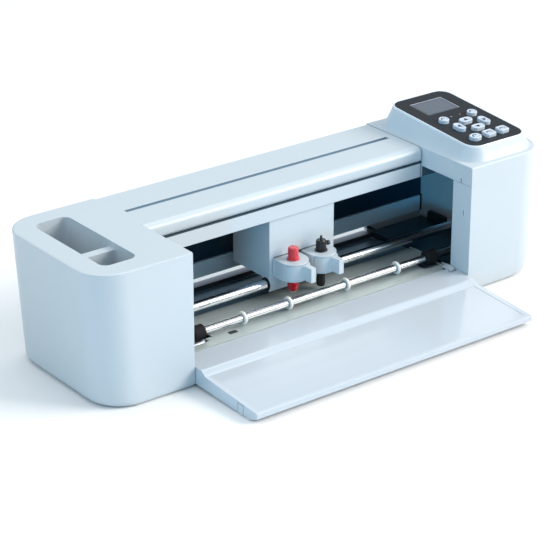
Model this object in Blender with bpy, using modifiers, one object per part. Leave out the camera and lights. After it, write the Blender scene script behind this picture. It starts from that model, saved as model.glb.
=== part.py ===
"""Desktop vinyl cutter: two end housings, a bridge, a two-tool carriage, a feed train and a front door.

Standalone Blender script in metres, +Z up, with the origin on the table under the middle of the
machine. The numbers below are millimetres: x runs right from the left housing's outer face, y runs
back from the housings' front faces (the open door reaches to negative y) and z runs up from the
table. place() turns such a point into metres about the origin.
"""

import math

import bmesh
import bpy
from mathutils import Matrix, Vector

MM = 0.001
GAP = 0.3                                   # left between two pieces that touch

# Whole machine
WIDTH = 580.0
DEPTH = 173.7
TOP = 143.3
ORIGIN_Y = 38.5
WALL = 2.5

# Housings: inner faces, lean of the outer walls, edge and corner radii
LEFT_INNER = 111.0
RIGHT_INNER = 469.4
CORNER = 37.0
LEFT_LEAN, RIGHT_LEAN = 8.7, 3.3
LEFT_EDGE, RIGHT_EDGE, FRONT_EDGE, TOP_EDGE = 8.5, 15.0, 4.0, 1.5
FLOOR = 0.6                                 # underside of the housings, above the feet
SEAM = 121.7                                # joint between the right housing's two shells
BASE_LOW, BASE_HIGH = 2.0, 4.4

# Tool tray in the left housing
TRAY_X = (25.0, 65.0)
TRAY_Y = (24.0, 150.5)
DIVIDER_Y = (63.5, 74.0)
DIVIDER_TOP = 137.0
TRAY_FLOOR = 83.0
TRAY_CORNER = 9.0

# Chassis
LEFT_PLATE = (113.0, 115.5)
RIGHT_PLATE = (546.0, 548.5)
PLATEN_X = (115.8, 466.0)
PLATEN_Y = (27.8, 94.0)
PLATEN_TOP = 21.5
ROD_Y, ROD_Z, ROD_RADIUS = 87.6, 36.2, 5.0
BEAM_Y = (108.0, 160.0)
BEAM_Z = (99.0, 135.0)
FASCIA_Y = (79.0, 81.3)
FASCIA_Z = (109.6, 126.2)
BACK = 171.0                                # back of the bridge

# Feed train, turning about axes along x
FEED_Y = 48.4
PINCH_Z = 29.2
PINCH_RADIUS, SHAFT_RADIUS, RING_RADIUS, RING_WIDTH = 7.7, 4.0, 7.1, 2.8
RINGS_X = (205.5, 264.0, 340.0, 409.4)
LEFT_ROLLER = (141.5, 155.5)
RIGHT_ROLLER = (450.0, 464.0)
GRIT_RADIUS = 7.0
FEED_Z = PINCH_Z - PINCH_RADIUS - GAP - GRIT_RADIUS
GEAR_MODULE, GEAR_TEETH, PINION_TEETH = 0.7, 24, 12
GEAR_X = (541.0, 545.0)
PINION_RISE = 4.7                           # pinion's axis above the roller's axis

# Carriage and its belt
CARRIAGE_X = (265.2, 350.1)
CARRIAGE_Y = (81.8, 145.0)
CARRIAGE_LOW, SIDE_LOW, SIDE_TOP, PLATE_TOP = 29.2, 42.5, 98.3, 118.0
PULLEY_RADIUS = 7.7
PULLEY_Z = 117.0
IDLER_X, DRIVE_X = 128.0, 529.0
BELT_Y = (99.3, 104.7)

# Tools
TOOL_Y = 68.0
BLADE_X, PEN_X = 285.4, 322.3
CLAMP_RADIUS = 16.2
CLAMP_Z = (46.2, 66.0)
LEVER_Z = (48.0, 63.8)
LEVER_RADIUS = 16.5
LEVER_PIN = (6.6, -12.2)                    # from the tool's axis
WINDOW_X = (270.5, 341.0)
WINDOW_Z = (45.6, 66.8)

# Console: its panel slopes down to the front
SLOPE = 0.08
TILT = math.atan(SLOPE)
PANEL_X = (481.6, 559.2)
PANEL_Y = (14.3, 148.5)
PANEL_CORNER = 13.5
PANEL_THICKNESS = 1.8
PANEL_HEIGHT = 165.0                        # panel's surface at PANEL_MIDDLE
PANEL_MIDDLE = 86.0

# Door, which lies open: hinge axis along x
DOOR_X = (111.7, 468.8)
HINGE_Y, HINGE_Z = 24.0, 19.3
DOOR_FRONT = -99.5
HINGE_PIN = 1.9

SEGMENTS = 24


def place(x, y, z):
    return Vector((x - WIDTH / 2, y - ORIGIN_Y, z)) * MM


# ---------------------------------------------------------------- scene and materials

def clear_scene():
    for obj in list(bpy.data.objects):
        bpy.data.objects.remove(obj, do_unlink=True)


def collection(name):
    made = bpy.data.collections.new(name)
    bpy.context.scene.collection.children.link(made)
    return made


def material(name, colour, roughness, metallic=0.0):
    made = bpy.data.materials.get(name) or bpy.data.materials.new(name)
    made.use_nodes = True
    shader = made.node_tree.nodes["Principled BSDF"]
    shader.inputs["Base Color"].default_value = (*colour, 1.0)
    shader.inputs["Roughness"].default_value = roughness
    shader.inputs["Metallic"].default_value = metallic
    made.diffuse_color = (*colour, 1.0)
    return made


clear_scene()
PARTS = collection("vinyl_cutter")
CUTTERS = collection("cutters")

BODY_BLUE = material("body_blue", (0.60, 0.70, 0.79), 0.4)
PANEL_BLACK = material("panel_black", (0.035, 0.04, 0.05), 0.45)
BUTTON_WHITE = material("button_white", (0.62, 0.68, 0.78), 0.4)
SCREEN_GREY = material("screen_grey", (0.17, 0.20, 0.25), 0.15)
LED_LENS = material("led_lens", (0.75, 0.75, 0.78), 0.3)
PLATEN_GREY = material("platen_grey", (0.42, 0.47, 0.47), 0.35, 0.6)
CHROME = material("chrome", (0.8, 0.8, 0.82), 0.12, 1.0)
ALUMINIUM = material("aluminium", (0.62, 0.64, 0.66), 0.35, 1.0)
STEEL = material("steel_plate", (0.45, 0.5, 0.55), 0.4, 0.8)
RUBBER = material("rubber", (0.02, 0.02, 0.022), 0.8)
WHITE_NYLON = material("white_nylon", (0.85, 0.85, 0.86), 0.4)
GEAR_NYLON = material("gear_nylon", (0.75, 0.75, 0.72), 0.5)
MOTOR_BLACK = material("motor_black", (0.03, 0.03, 0.035), 0.45)
BOARD_GREEN = material("board_green", (0.02, 0.16, 0.07), 0.4)
HOLDER_RED = material("holder_red", (0.68, 0.03, 0.05), 0.3)
BLADE_STEEL = material("blade_steel", (0.75, 0.76, 0.78), 0.2, 1.0)
HOLDER_BLACK = material("holder_black", (0.015, 0.013, 0.013), 0.35)
SOCKET_BLACK = material("socket_black", (0.02, 0.02, 0.02), 0.5)


def add_object(name, mesh, look=None):
    """A part when it has a material, and a hidden cutter when it has none."""
    obj = bpy.data.objects.new(name, mesh)
    if look:
        mesh.materials.append(look)
        PARTS.objects.link(obj)
    else:
        obj.hide_render = True
        obj.display_type = "WIRE"
        CUTTERS.objects.link(obj)
    return obj


def set_origin(obj, point):
    """Moves the object's origin, and not its shape, to a point given as place() takes it."""
    target = place(*point)
    obj.data.transform(Matrix.Translation(-target))
    obj.location = target
    return obj


def smooth(obj):
    obj.data.shade_smooth()
    obj.data.set_sharp_from_angle(angle=math.radians(35))
    return obj


def combine(obj, other, operation):
    modifier = obj.modifiers.new(other.name, "BOOLEAN")
    modifier.operation = operation
    modifier.object = other
    modifier.solver = "EXACT"


def cut(obj, *cutters):
    for cutter in cutters:
        combine(obj, cutter, "DIFFERENCE")


def join(obj, *others):
    for other in others:
        combine(obj, other, "UNION")


# ---------------------------------------------------------------- shapes

def box(name, x_span, y_span, z_span, look=None):
    low, high = place(x_span[0], y_span[0], z_span[0]), place(x_span[1], y_span[1], z_span[1])
    shape = bmesh.new()
    size = high - low
    bmesh.ops.create_cube(shape, size=1.0, matrix=Matrix.LocRotScale((low + high) / 2, None, size))
    mesh = bpy.data.meshes.new(name)
    shape.to_mesh(mesh)
    shape.free()
    return add_object(name, mesh, look)


TURNS = {
    "x": Matrix.Rotation(math.pi / 2, 4, "Y"),
    "y": Matrix.Rotation(-math.pi / 2, 4, "X"),
    "z": Matrix.Identity(4),
}


def cylinder(name, start, axis, length, radius, look=None, end_radius=None, segments=SEGMENTS):
    """A cylinder or cone that runs from start along +x, +y or +z."""
    shape = bmesh.new()
    far = radius if end_radius is None else end_radius
    middle = Matrix.Translation(place(*start)) @ TURNS[axis]
    bmesh.ops.create_cone(
        shape, cap_ends=True, segments=segments, radius1=radius * MM, radius2=far * MM,
        depth=length * MM, matrix=middle @ Matrix.Translation((0, 0, length * MM / 2)),
    )
    mesh = bpy.data.meshes.new(name)
    shape.to_mesh(mesh)
    shape.free()
    return smooth(add_object(name, mesh, look))


def turned(name, start, axis, profile, look=None, hollow=False, segments=SEGMENTS):
    """A turned piece. The profile's (radius, distance along the axis) runs from the far end back."""
    mesh = bpy.data.meshes.new(name)
    points = [(radius * MM, 0, distance * MM) for radius, distance in profile]
    edges = [(i, i + 1) for i in range(len(points) - 1)]
    if hollow:
        edges.append((len(points) - 1, 0))
    mesh.from_pydata(points, edges, [])
    obj = add_object(name, mesh, look)
    obj.matrix_world = Matrix.Translation(place(*start)) @ TURNS[axis]
    screw = obj.modifiers.new("turn", "SCREW")
    screw.steps = screw.render_steps = segments
    screw.use_merge_vertices = True
    screw.merge_threshold = 0.00001
    screw.use_smooth_shade = True
    return obj


def slab(name, outlines, low, high, axis, look=None):
    """Flat outlines, the first solid and the rest holes, thickened between low and high.

    An outline's points are (x, y) for axis z, (y, z) for axis x and (x, z) for axis y.
    """
    curve = bpy.data.curves.new(name, "CURVE")
    curve.dimensions = "2D"
    curve.fill_mode = "BOTH"
    curve.extrude = (high - low) / 2 * MM
    for outline in outlines:
        spline = curve.splines.new("POLY")
        spline.points.add(len(outline) - 1)
        for point, (u, v) in zip(spline.points, outline):
            point.co = (u * MM, v * MM, 0, 1)
        spline.use_cyclic_u = True
    flat = bpy.data.objects.new(name + "_outline", curve)
    CUTTERS.objects.link(flat)
    bpy.context.view_layer.update()
    mesh = bpy.data.meshes.new_from_object(flat.evaluated_get(bpy.context.evaluated_depsgraph_get()))
    bpy.data.objects.remove(flat, do_unlink=True)
    mesh.name = name
    middle = (low + high) / 2
    turn, start = {
        "x": (Matrix(((0, 0, 1, 0), (1, 0, 0, 0), (0, 1, 0, 0), (0, 0, 0, 1))), (middle, 0, 0)),
        "y": (Matrix(((1, 0, 0, 0), (0, 0, -1, 0), (0, 1, 0, 0), (0, 0, 0, 1))), (0, middle, 0)),
        "z": (Matrix.Identity(4), (0, 0, middle)),
    }[axis]
    mesh.transform(Matrix.Translation(place(*start)) @ turn)
    weld(mesh)
    return add_object(name, mesh, look)


def weld(mesh):
    shape = bmesh.new()
    shape.from_mesh(mesh)
    bmesh.ops.remove_doubles(shape, verts=shape.verts, dist=0.000005)
    bmesh.ops.recalc_face_normals(shape, faces=shape.faces)
    shape.to_mesh(mesh)
    shape.free()


def loft(name, rings, look=None):
    """A solid through rings of points in metres, listed from the bottom ring to the top one."""
    shape = bmesh.new()
    rows = [[shape.verts.new(point) for point in ring] for ring in rings]
    for lower, upper in zip(rows, rows[1:]):
        for i in range(len(lower)):
            j = (i + 1) % len(lower)
            shape.faces.new((lower[i], lower[j], upper[j], upper[i]))
    shape.faces.new(rows[0][::-1])
    shape.faces.new(rows[-1])
    bmesh.ops.recalc_face_normals(shape, faces=shape.faces)
    mesh = bpy.data.meshes.new(name)
    shape.to_mesh(mesh)
    shape.free()
    return smooth(add_object(name, mesh, look))


def rounded(x_span, y_span, radii, steps=6):
    """An outline with corner radii for front left, front right, back right and back left."""
    (x0, x1), (y0, y1) = x_span, y_span
    corners = ((x0, y0, 1, 1), (x1, y0, -1, 1), (x1, y1, -1, -1), (x0, y1, 1, -1))
    points = []
    for turn, ((x, y, right, back), radius) in enumerate(zip(corners, radii)):
        if radius <= 0:
            points.append((x, y))
            continue
        for step in range(steps + 1):
            angle = math.pi + (turn + step / steps) * math.pi / 2
            centre_x, centre_y = x + right * radius, y + back * radius
            points.append((centre_x + radius * math.cos(angle), centre_y + radius * math.sin(angle)))
    return points


def thickened(path, thickness):
    """The closed outline of a wall that lies to the left of an open path."""
    path = [Vector(point) for point in path]
    side = []
    for i, point in enumerate(path):
        before = (point - path[i - 1]).normalized() if i else None
        after = (path[i + 1] - point).normalized() if i + 1 < len(path) else None
        before, after = before or after, after or before
        normal = Vector((-before.y - after.y, before.x + after.x)).normalized()
        reach = thickness / max(0.4, normal.dot(Vector((-before.y, before.x))))
        side.append(point + normal * reach)
    return [tuple(point) for point in path + side[::-1]]


# ---------------------------------------------------------------- housings

def edge_inset(z, radius):
    """How far a rounded bottom edge, and the small top edge, draw a wall in at height z."""
    if z < FLOOR + radius:
        height = max(0.0, z - FLOOR)
        return radius - math.sqrt(radius**2 - (radius - height) ** 2)
    if z > TOP - TOP_EDGE:
        rise = min(TOP_EDGE, z - TOP + TOP_EDGE)
        return TOP_EDGE - math.sqrt(TOP_EDGE**2 - rise**2)
    return 0.0


def housing_ring(side, z, inset=0.0):
    """The housing's outline at height z: two round outer corners and two sharp inner ones."""
    left = side == "left"
    lean = (LEFT_LEAN if left else RIGHT_LEAN) * (TOP - z) / TOP
    outer = lean + edge_inset(z, LEFT_EDGE if left else RIGHT_EDGE) + inset
    front = edge_inset(z, FRONT_EDGE) + inset
    width = (LEFT_INNER if left else WIDTH - RIGHT_INNER) - inset
    radius = max(6.0, CORNER - front)
    outline = rounded((outer, width), (front, DEPTH - front), (radius, 0, 0, radius), 8)
    if not left:
        outline = [(WIDTH - x, y) for x, y in outline]
    return [place(x, y, z) for x, y in outline]


def housing_heights(low, high, radius):
    curve = [FLOOR + radius * (1 - math.cos(step * math.pi / 10)) for step in range(6)]
    levels = [z for z in curve if low < z < high]
    if high >= TOP:
        levels += [TOP - TOP_EDGE, TOP - TOP_EDGE * 0.4]
    return [low, *levels, high]


def housing_loft(name, side, low, high, inset=0.0, look=None):
    radius = LEFT_EDGE if side == "left" else RIGHT_EDGE
    heights = housing_heights(low, high, radius)
    return loft(name, [housing_ring(side, z, inset) for z in heights], look)


def housing_cavity(name, side, low, high):
    radius = LEFT_EDGE if side == "left" else RIGHT_EDGE
    heights = housing_heights(low, high, radius)
    rings = [housing_ring(side, min(z, TOP - TOP_EDGE), WALL) for z in heights]
    for ring, z in zip(rings, heights):
        for point in ring:
            point.z = z * MM
    return loft(name, rings)


def left_housing():
    shell = housing_loft("left_housing", "left", FLOOR, TOP, look=BODY_BLUE)
    cavity = housing_cavity("left_cavity", "left", FLOOR - 1, TOP - WALL)
    edge = 3.0
    block_x = (TRAY_X[0] - edge, TRAY_X[1] + edge)
    block_y = (TRAY_Y[0] - edge, TRAY_Y[1] + edge)
    outline = rounded(block_x, block_y, [TRAY_CORNER + edge] * 4)
    cut(cavity, slab("tray_block", [outline], TRAY_FLOOR - edge, TOP, "z"))
    cut(shell, cavity)
    front, back = (TRAY_Y[0], DIVIDER_Y[0]), (DIVIDER_Y[1], TRAY_Y[1])
    round_front = (TRAY_CORNER, TRAY_CORNER, 3.0, 3.0)
    round_back = (3.0, 3.0, TRAY_CORNER, TRAY_CORNER)
    for name, span, radii, low in (
        ("tray_rim", TRAY_Y, [TRAY_CORNER] * 4, DIVIDER_TOP),
        ("tray_front", front, round_front, TRAY_FLOOR),
        ("tray_back", back, round_back, TRAY_FLOOR),
    ):
        cut(shell, slab(name, [rounded(TRAY_X, span, radii)], low, TOP + 5, "z"))
    cut(
        shell,
        box("left_base_clearance", (95, 115), (29.5, 168.5), (0, BASE_HIGH + 0.4)),
        box("inlet_cutout", (INLET_X[0] + 2, INLET_X[1] - 2), (165, 180), (INLET_Z[0] + 2, INLET_Z[1] - 2)),
        box("usb_cutout", (USB_X[0] - 0.4, USB_X[1] + 0.4), (165, 180), (USB_Z[0] - 0.4, USB_Z[1] + 0.4)),
    )


def right_housing_lower():
    shell = housing_loft("right_housing_lower", "right", FLOOR, SEAM - GAP / 2, look=BODY_BLUE)
    cut(shell, housing_cavity("right_cavity", "right", FLOOR - 1, SEAM + 1))
    bay = (RIGHT_INNER - 3, RIGHT_INNER + 5)
    cut(
        shell,
        box("carriage_bay", bay, (28.5, 168.4), (PLATEN_TOP - 0.5, SEAM + 1)),
        box("latch_slit", (RIGHT_INNER - 3, RIGHT_INNER + 5), (10.6, 11.9), (86.6, 92.2)),
        box("roller_slot", bay, (FEED_Y - 4.5, FEED_Y + 4.5), (FEED_Z - 4.5, PLATEN_TOP)),
        box("right_base_clearance", bay, (29.5, 168.5), (0, BASE_HIGH + 0.4)),
    )


# The console rises from the upper shell. Each pair is a share of its height and a share of
# the way in from its foot to its top edge.
CONSOLE_PROFILE = ((0, 0), (0.1, 0.22), (0.35, 0.5), (0.65, 0.74), (0.88, 0.92), (0.97, 0.98), (1, 1.04))
CONSOLE_FOOT = ((470.4, 573.8), (5.2, 167.0), 27.0)
CONSOLE_TOP = ((479.6, 561.4), (12.0, 151.0), 15.5)


def panel_z(y):
    return PANEL_HEIGHT + SLOPE * (y - PANEL_MIDDLE)


def between(low, high, share):
    return low + (high - low) * share


def console_rings(inset, lowest, drop):
    rings = []
    for rise, inward in CONSOLE_PROFILE:
        spans = [
            (between(foot[0], top[0], inward) + inset, between(foot[1], top[1], inward) - inset)
            for foot, top in zip(CONSOLE_FOOT[:2], CONSOLE_TOP[:2])
        ]
        radius = between(CONSOLE_FOOT[2], CONSOLE_TOP[2], inward) - inset
        outline = rounded(*spans, [radius] * 4)
        if not rings:
            rings.append([place(x, y, lowest) for x, y in outline])
        height = [between(TOP, panel_z(y) - drop, rise) for _, y in outline]
        rings.append([place(x, y, z) for (x, y), z in zip(outline, height)])
    return rings


def right_housing_upper():
    shell = housing_loft("right_housing_upper", "right", SEAM + GAP / 2, TOP, look=BODY_BLUE)
    below_panel = PANEL_THICKNESS + GAP
    join(shell, loft("console_rise", console_rings(0.0, TOP - 1.5, below_panel)))
    cut(
        shell,
        housing_cavity("upper_cavity", "right", SEAM - 1, TOP - WALL),
        loft("console_cavity", console_rings(WALL, TOP - WALL - 1, below_panel + WALL)),
        box("panel_opening", (490.5, 550.5), (22, 140), (TOP, TOP + 40)),
        box("beam_opening", (RIGHT_INNER - 3, RIGHT_INNER + 5), (96, 162), (SEAM - 1, 138)),
        box("seam_slit", (RIGHT_INNER - 3, RIGHT_INNER + 5), (16.1, 17.4), (SEAM - 1, SEAM + 5.5)),
    )


# ---------------------------------------------------------------- console fittings

PANEL_CENTRE = (sum(PANEL_X) / 2, sum(PANEL_Y) / 2)
SCREEN = ((497.8, 543.2), (102.2, 134.8))
LEDS = {"led_ready": (516.8, 87.3), "led_power": (529.4, 87.3)}
# name: centre x, centre y, width along x, depth along y, corner radius
BUTTONS = {
    "button_menu": (500.2, 80.7, 11.6, 11.6, 5.8),
    "button_delete": (540.6, 80.7, 11.4, 11.4, 5.7),
    "button_up": (520.1, 68.0, 16.6, 9.8, 4.9),
    "button_left": (502.4, 58.2, 9.8, 16.6, 4.9),
    "button_right": (537.6, 58.2, 9.8, 16.6, 4.9),
    "button_down": (520.1, 48.3, 16.6, 9.8, 4.9),
    "button_pause": (500.0, 30.2, 14.2, 11.4, 5.7),
    "button_test": (519.5, 30.2, 13.4, 11.6, 2.5),
    "button_reset": (538.4, 30.2, 12.8, 11.4, 2.5),
}
BUTTON_RISE, BUTTON_FLANGE, HOLE_CLEARANCE = 4.0, 0.9, 0.35


def on_panel(obj, x, y, depth=0.0):
    """Seats a piece that was made about the origin square on the panel's surface."""
    obj.rotation_euler = (TILT, 0, 0)
    normal = Vector((0, -math.sin(TILT), math.cos(TILT)))
    obj.location = place(x, y, panel_z(y)) - normal * depth * MM
    return obj


def about_centre(outline, centre, stretch=1 / math.cos(TILT)):
    """A panel outline about a centre, with its depth measured along the slope."""
    return [(x - centre[0], (y - centre[1]) * stretch) for x, y in outline]


def flat_piece(name, outlines, thickness, look):
    obj = slab(name, outlines, -thickness, 0.0, "z", look)
    obj.data.transform(Matrix.Translation(-place(0, 0, 0)))
    return obj


def button_outline(width, depth, corner, grow=0.0):
    half_x, half_y, radius = width / 2 + grow, depth / 2 + grow, corner + grow
    limit = min(half_x, half_y) - 0.01
    return rounded((-half_x, half_x), (-half_y, half_y), [min(radius, limit)] * 4, 4)


def control_panel():
    centre = PANEL_CENTRE
    outlines = [about_centre(rounded(PANEL_X, PANEL_Y, [PANEL_CORNER] * 4, 8), centre)]
    outlines.append(about_centre(rounded(*SCREEN, [0.6] * 4, 2), centre))
    for x, y, width, depth, corner in BUTTONS.values():
        hole = button_outline(width, depth, corner, HOLE_CLEARANCE)
        outlines.append([(x - centre[0] + u, (y - centre[1]) / math.cos(TILT) + v) for u, v in hole])
    for x, y in LEDS.values():
        hole = button_outline(3.0, 3.0, 1.5)
        outlines.append([(x - centre[0] + u, (y - centre[1]) / math.cos(TILT) + v) for u, v in hole])
    on_panel(flat_piece("control_panel", outlines, PANEL_THICKNESS, PANEL_BLACK), *centre)


def screen_and_leds():
    (x0, x1), (y0, y1) = SCREEN
    centre = ((x0 + x1) / 2, (y0 + y1) / 2)
    outline = about_centre(rounded((x0 + GAP, x1 - GAP), (y0 + GAP, y1 - GAP), [0.5] * 4, 2), centre)
    on_panel(flat_piece("lcd_window", [outline], 2.4, SCREEN_GREY), *centre, 0.2)
    for name, centre in LEDS.items():
        lens = flat_piece(name, [button_outline(2.4, 2.4, 1.2)], 2.4, LED_LENS)
        on_panel(lens, *centre, -0.2)


def buttons():
    """Each key is a cap that rises through the panel from a flange, which holds it in from below."""
    for name, (x, y, width, depth, corner) in BUTTONS.items():
        levels = (
            (-4.4, BUTTON_FLANGE), (-PANEL_THICKNESS - 0.5, BUTTON_FLANGE),
            (-PANEL_THICKNESS - 0.5, 0.0), (BUTTON_RISE - 0.7, 0.0), (BUTTON_RISE - 0.2, -0.25),
            (BUTTON_RISE, -0.9),
        )
        rings = []
        for height, grow in levels:
            outline = button_outline(width, depth, corner, grow)
            rings.append([Vector((u, v, height)) * MM for u, v in outline])
        on_panel(loft(name, rings, BUTTON_WHITE), x, y)


def boards():
    centre = PANEL_CENTRE
    outline = about_centre(rounded((491, 550), (23, 139), [4.0] * 4, 3), centre)
    on_panel(flat_piece("keypad_board", [outline], 1.6, BOARD_GREEN), *centre, 8.5)
    box("main_board", (92.0, 93.6), (60, 160), (16, 120), BOARD_GREEN)


# ---------------------------------------------------------------- covers, base and chassis

def base_plate():
    left = (26.0, LEFT_INNER - 3)
    right = (RIGHT_INNER + 3, 552.0)
    outline = [
        (left[0] + 14, 16), (left[1], 16), (left[1], 30), (right[0], 30), (right[0], 16),
        (right[1] - 14, 16), (right[1], 30), (right[1], 144), (right[1] - 14, 158), (right[0], 158),
        (right[0], 168), (left[1], 168), (left[1], 158), (left[0] + 14, 158), (left[0], 144), (left[0], 30),
    ]
    slab("base_plate", [outline], BASE_LOW, BASE_HIGH, "z", STEEL)
    for name, middle in (("foot_left", 66.0), ("foot_right", 514.0)):
        outline = rounded((middle - 8, middle + 8), (24, 150), [8.0] * 4)
        slab(name, [outline], 0.0, BASE_LOW - GAP, "z", RUBBER)


def top_cover():
    """The bridge: a back wall, a flat top and a round nose over the cutting bay."""
    nose = [
        (87.0 - 8.2 * math.sin(step * math.pi / 14), TOP - 6.5 * (1 - math.cos(step * math.pi / 14)))
        for step in range(8)
    ]
    underside = [(79.2, 130.5), (81.0, 127.0), (85.0, 125.0)]
    path = [(BACK, 23.0), (BACK, TOP - 2), (BACK - 2, TOP), *nose, *underside]
    cover = slab("top_cover", [thickened(path, 3.0)], LEFT_INNER + GAP, RIGHT_INNER - GAP, "x", BODY_BLUE)
    cut(cover, box("top_groove", (117.5, 459.0), (121.4, 127.2), (TOP - 2.2, TOP + 2)))
    fascia = box("fascia", (LEFT_INNER + GAP, RIGHT_PLATE[0] - GAP), FASCIA_Y, FASCIA_Z, BODY_BLUE)
    below_shell = (SEAM - GAP, FASCIA_Z[1] + 1)
    cut(fascia, box("fascia_notch", (RIGHT_INNER - GAP, RIGHT_PLATE[1]), (FASCIA_Y[0] - 1, 85.0), below_shell))


def crossbeam():
    """An extruded channel, open at the back, with a T rail under it for the carriage."""
    (y0, y1), (z0, z1), wall = BEAM_Y, BEAM_Z, 2.0
    outline = [
        (y0, z0), (y1, z0), (y1, z0 + wall), (y0 + wall, z0 + wall),
        (y0 + wall, z1 - wall), (y1, z1 - wall), (y1, z1), (y0, z1),
    ]
    reach = (LEFT_PLATE[1] + GAP, RIGHT_PLATE[0] - GAP)
    beam = slab("crossbeam", [outline], *reach, "x", ALUMINIUM)
    rail = [
        (120.5, z0 + 1), (120.5, 94.0), (117.5, 94.0), (117.5, 90.0),
        (126.5, 90.0), (126.5, 94.0), (123.5, 94.0), (123.5, z0 + 1),
    ]
    join(beam, slab("t_rail", [rail], *reach, "x"))
    cut(beam, cylinder("idler_hole", (IDLER_X, 100, PULLEY_Z), "y", 20, 2.7))
    cut(beam, cylinder("drive_hole", (DRIVE_X, 100, PULLEY_Z), "y", 20, 3.2))


def side_plates():
    outline = [
        (32, 4.8), (158, 4.8), (166, 13), (166, 124), (154, 138), (98, 136), (89, 123), (84, 119), (84, 100),
        (60, 60), (32, 44),
    ]
    for name, (low, high) in (("left_side_plate", LEFT_PLATE), ("right_side_plate", RIGHT_PLATE)):
        plate = slab(name, [outline], low, high, "x", STEEL)
        holes = [
            (ROD_Y, ROD_Z, ROD_RADIUS + 0.2),
            (FEED_Y, PINCH_Z, SHAFT_RADIUS + 0.3),
            (FEED_Y, FEED_Z, 4.3),
        ]
        if low > WIDTH / 2:
            holes.append((*pinion_axis(), 2.3))
        for index, (y, z, radius) in enumerate(holes):
            cut(plate, cylinder(f"{name}_hole_{index}", (low - 1, y, z), "x", 5, radius))


def platen():
    (x0, x1), (y0, y1) = PLATEN_X, PLATEN_Y
    corner_x, corner_y = 121.0, 30.5
    left_cut = [(138, 38.5), (156.2, 38.5), (156.2, 45.5), (164.5, 45.5), (164.5, 58.3), (138, 58.3)]
    right_cut = [(442.5, 42), (447, 38.5), (466 - 1.2, 38.5), (466 - 1.2, 58.3), (442.5, 58.3)]
    media_slot = [(182.5, 39.4), (192, 39.4), (192, 41.9), (182.5, 41.9)]
    top = PLATEN_TOP
    leg_z = (BASE_HIGH + 0.4, top - 0.5)
    plate = box("platen", (x0, x1), (y0, y1), (top - 1.6, top), PLATEN_GREY)
    for name, outline in (("left_cut", left_cut), ("right_cut", right_cut), ("media_slot", media_slot)):
        cut(plate, slab(name, [outline], top - 4, top + 2, "z"))
    for name, span in (("corner_left", (x0 - 1, corner_x)), ("corner_right", (WIDTH - corner_x, x1 + 1))):
        cut(plate, box(name, span, (y0 - 1, corner_y), (top - 4, top + 2)))
    join(
        plate,
        box("platen_front_leg", (corner_x + 1, WIDTH - corner_x - 1), (y0, y0 + 1.6), leg_z),
        box("platen_back_leg", (x0, x1), (y1 - 1.6, y1), leg_z),
    )
    path = [(BACK, 5.0), (BACK, 16.2), (160, 16.2), (158.4, 11.4), (104, top - 0.9), (y1 + GAP, top - 0.9)]
    slab("rear_guide", [thickened(path, 1.6)], LEFT_PLATE[1] + GAP, PLATEN_X[1], "x", PLATEN_GREY)


def guide_rod():
    reach = RIGHT_PLATE[1] - LEFT_PLATE[0]
    cylinder("guide_rod", (LEFT_PLATE[0], ROD_Y, ROD_Z), "x", reach, ROD_RADIUS, CHROME, segments=32)


# ---------------------------------------------------------------- power and data sockets

INLET_X, INLET_Z = (46.0, 90.0), (24.0, 52.0)
USB_X, USB_Z = (60.0, 72.0), (64.0, 75.0)
ROCKER_X, ROCKER_Z, ROCKER_Y = INLET_X[1] - 8.0, 38.0, 171.5


def sockets():
    """One module in the left back wall holds the mains inlet and its rocker; the data socket is above."""
    (x0, x1), (z0, z1) = INLET_X, INLET_Z
    flange = slab("power_inlet", [rounded((x0, x1), INLET_Z, [2.0] * 4, 3)], 174.0, 175.2, "y", SOCKET_BLACK)
    join(flange, box("inlet_body", (x0 + 2.4, x1 - 2.4), (169.0 - 18, 174.6), (z0 + 2.4, z1 - 2.4)))
    plug = x0 + 15.5
    plug_hole = [(-10.5, 29), (10.5, 29), (10.5, 42), (5.5, 47), (-5.5, 47), (-10.5, 42)]
    plug_hole = [(plug + x, z) for x, z in plug_hole]
    cut(flange, slab("plug_recess", [plug_hole], 157.0, 180.0, "y"))
    rocker_hole = (ROCKER_X - 5.4, ROCKER_X + 5.4)
    cut(flange, box("rocker_recess", rocker_hole, (160.0, 180.0), (ROCKER_Z - 9.6, ROCKER_Z + 9.6)))
    for index, (x, z) in enumerate(((-5, 35), (0, 41), (5, 35))):
        join(flange, box(f"inlet_pin_{index}", (plug + x - 1, plug + x + 1), (155.0, 170.0), (z - 2, z + 2)))
    y, z = ROCKER_Y, ROCKER_Z
    rocker_side = [(y - 5, z - 7), (y + 5.0, z - 8.6), (y + 2.4, z), (y + 2.4, z + 8.6), (y - 5, z + 7)]
    rocker = slab("power_rocker", [rocker_side], ROCKER_X - 4.9, ROCKER_X + 4.9, "x", SOCKET_BLACK)
    set_origin(rocker, (ROCKER_X, ROCKER_Y, ROCKER_Z))
    usb = box("usb_socket", USB_X, (160.0, 174.4), USB_Z, SOCKET_BLACK)
    cut(usb, box("usb_recess", (USB_X[0] + 1, USB_X[1] - 1), (163.0, 180.0), (USB_Z[0] + 1, USB_Z[1] - 1)))


# ---------------------------------------------------------------- feed train

def pinion_axis():
    apart = GEAR_MODULE * (GEAR_TEETH + PINION_TEETH) / 2
    return FEED_Y + math.sqrt(apart**2 - PINION_RISE**2), FEED_Z + PINION_RISE


def gear_outline(centre, teeth, first_tooth):
    """Straight-sided teeth on a wheel whose pitch radius follows from the module."""
    pitch = GEAR_MODULE * teeth / 2
    tip, root = pitch + 0.75 * GEAR_MODULE, pitch - 1.15 * GEAR_MODULE
    tooth = 2 * math.pi / teeth
    points = []
    for index in range(teeth):
        for share, radius in ((-0.3, root), (-0.11, tip), (0.11, tip), (0.3, root)):
            angle = first_tooth + (index + share) * tooth
            points.append((centre[0] + radius * math.cos(angle), centre[1] + radius * math.sin(angle)))
    return points


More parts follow.
